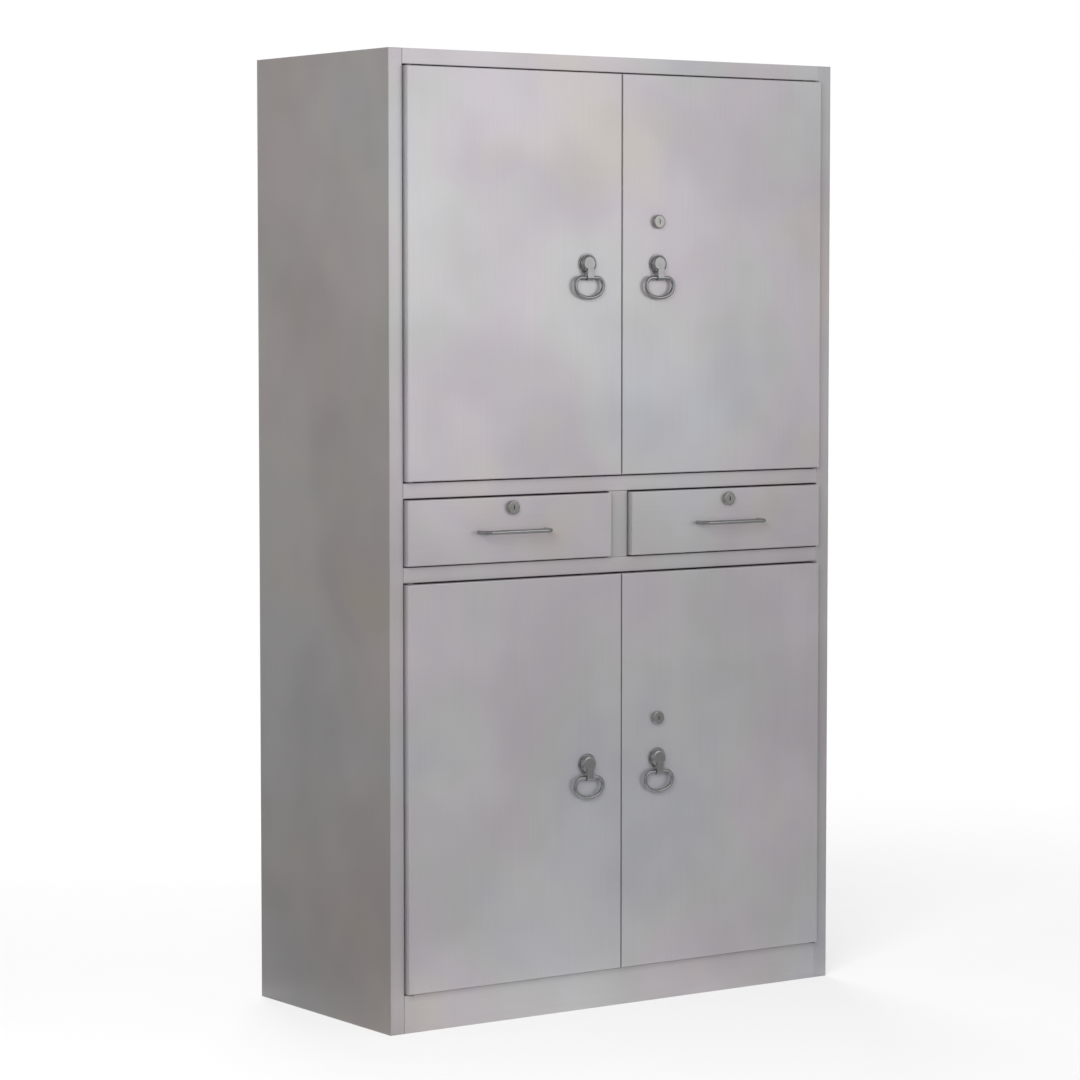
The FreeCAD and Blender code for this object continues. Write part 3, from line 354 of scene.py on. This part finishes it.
# How pale the floor is, and how much of plain white the eye sees in it
PAPER_PALE = 0.87
PAPER_GRAIN = 4.0
PAPER_GRAIN_SHADE = 0.04
PAPER_WHITE = 0.62

# What metal sees of it: from the middle to the left, and by how far it is from the cabinet
LEFT = (-1, 0, 0)
LEFT_START, LEFT_END = 0.3, 0.7
MIDDLE_IN_METAL, LEFT_IN_METAL = 0.49, 0.26
NEAR, FAR = 0.3, 0.8
NEAR_SHARE, FAR_SHARE = 1.55, 0.8


def studio_floor():
    """Pale round floor that fades into the white; metal sees it darker, and darkest to the left."""
    bpy.ops.mesh.primitive_circle_add(vertices=FLOOR_SIDES, radius=FLOOR_RADIUS, fill_type="NGON")
    floor = bpy.context.object
    floor.name = "studio_floor"
    material, tools = new_material("pale_floor")
    place = own_place(tools)
    reach = tools.add("VectorMath", {"operation": "LENGTH"}, {0: place}, "Value")
    in_metal = tools.add("LightPath", output="Is Glossy Ray")
    near = reach.span(NEAR, FAR, NEAR_SHARE, FAR_SHARE)
    darker = place.along(LEFT).span(LEFT_START, LEFT_END, MIDDLE_IN_METAL, LEFT_IN_METAL) * near
    grain = place.noise(PAPER_GRAIN) * PAPER_GRAIN_SHADE
    pale = (PAPER_PALE + grain) * (1 - in_metal) + in_metal * darker
    lit = tools.add("BsdfDiffuse", None, {"Color": pale})
    white = tools.add("Emission", None, {"Color": WHITE, "Strength": 1.0})
    seen = tools.add("LightPath", output="Is Camera Ray") * PAPER_WHITE
    paper = tools.add("MixShader", None, {0: seen, 1: lit, 2: white})
    clear = tools.add("BsdfTransparent")
    fade = reach.span(FADE_START, FADE_END)
    surface(tools, tools.add("MixShader", None, {0: fade, 1: paper, 2: clear}))
    floor.data.materials.append(material)


studio_floor()


# Light

AMBIENT = 0.40

# What metal sees of the room from straight down, 0, to straight up, 1
HEIGHT_IN_METAL = ((0.0, 0.20), (0.42, 0.31), (0.50, 0.39), (0.62, 0.46), (0.78, 0.32), (1.0, 0.28))
BEHIND_RIGHT = (0.85, 0.53, 0)
BEHIND_RIGHT_RANGE = (0.3, 0.95)
BEHIND_RIGHT_SHARE = 0.8
BEHIND_LEFT = (-0.57, 0.82, 0)
BEHIND_LEFT_RANGE = (0.4, 0.95)
BEHIND_LEFT_LOSS = 0.24
HORIZON = (0.44, 0.53)


def studio_light():
    """White all round for the eye; metal sees a grey room, lightest above eye level and in front."""
    world = bpy.data.worlds.new("studio")
    bpy.context.scene.world = world
    world.use_nodes = True
    tree = world.node_tree
    tree.nodes.clear()
    tools = Field(tree)
    facing = tools.add("TexCoord", output="Generated")
    to_camera = tools.add("LightPath", output="Is Camera Ray")
    to_glass = tools.add("LightPath", output="Is Transmission Ray")
    to_metal = tools.add("LightPath", output="Is Glossy Ray")
    height = facing.along((0, 0, 0.5)) + 0.5
    level = height.ramp([(place, (grey, grey, grey)) for place, grey in HEIGHT_IN_METAL])
    right = facing.along(BEHIND_RIGHT).span(*BEHIND_RIGHT_RANGE, 1.0, BEHIND_RIGHT_SHARE)
    low_loss = height.span(*HORIZON, BEHIND_LEFT_LOSS, 0.0)
    left_loss = facing.along(BEHIND_LEFT).span(*BEHIND_LEFT_RANGE) * low_loss
    in_metal = level * right * (1 - left_loss)
    seen = tools.math("MAXIMUM", to_camera, to_glass)
    strength = seen + (1 - seen) * (to_metal * in_metal + (1 - to_metal) * AMBIENT)
    background = tools.add("Background", None, {"Color": WHITE, "Strength": strength})
    output = tree.nodes.new("ShaderNodeOutputWorld")
    tree.links.new(background.socket, output.inputs["Surface"])


def softbox(name, place, aim, size, power, in_metal):
    """A lamp of that width and height that the camera doesn't see, and metal only where it is said to."""
    data = bpy.data.lights.new(name, "AREA")
    data.shape = "RECTANGLE"
    data.size, data.size_y = size
    data.energy = power
    lamp = bpy.data.objects.new(name, data)
    lamp.location = place
    across, back, up = (end - start for start, end in zip(place, aim))
    lamp.rotation_euler = math.atan2(math.hypot(across, back), -up), 0, math.atan2(-across, back)
    lamp.visible_camera = False
    lamp.visible_glossy = in_metal
    bpy.context.scene.collection.objects.link(lamp)


studio_light()
softbox("left_softbox", (-3.1, -2.9, 2.4), aim=(0, -0.2, 0.9), size=(1.9, 1.9), power=195, in_metal=False)
softbox("front_softbox", (0.9, -2.4, 1.9), aim=(0, -0.2, 1.5), size=(1.9, 2.1), power=6.5, in_metal=True)
softbox("back_softbox", (1.4, 3.6, 2.6), aim=(0, 0.2, 0.8), size=(2.2, 2.2), power=110, in_metal=False)


# Camera, at the photograph's place: lens and sensor in millimetres, angles in degrees

LENS = 121.403
SENSOR = 36
CAMERA_PLACE = (-3.9562, -5.6112, 1.3294)
HEADING = 34.9549
PITCH = 3.9566

camera = bpy.data.objects.new("photo_camera", bpy.data.cameras.new("photo_camera"))
camera.data.lens = LENS
camera.data.sensor_width = SENSOR
camera.location = CAMERA_PLACE
camera.rotation_euler = Euler((math.radians(90 - PITCH), 0, math.radians(-HEADING)))
bpy.context.scene.collection.objects.link(camera)
bpy.context.scene.camera = camera

bpy.context.scene.view_settings.view_transform = "Standard"
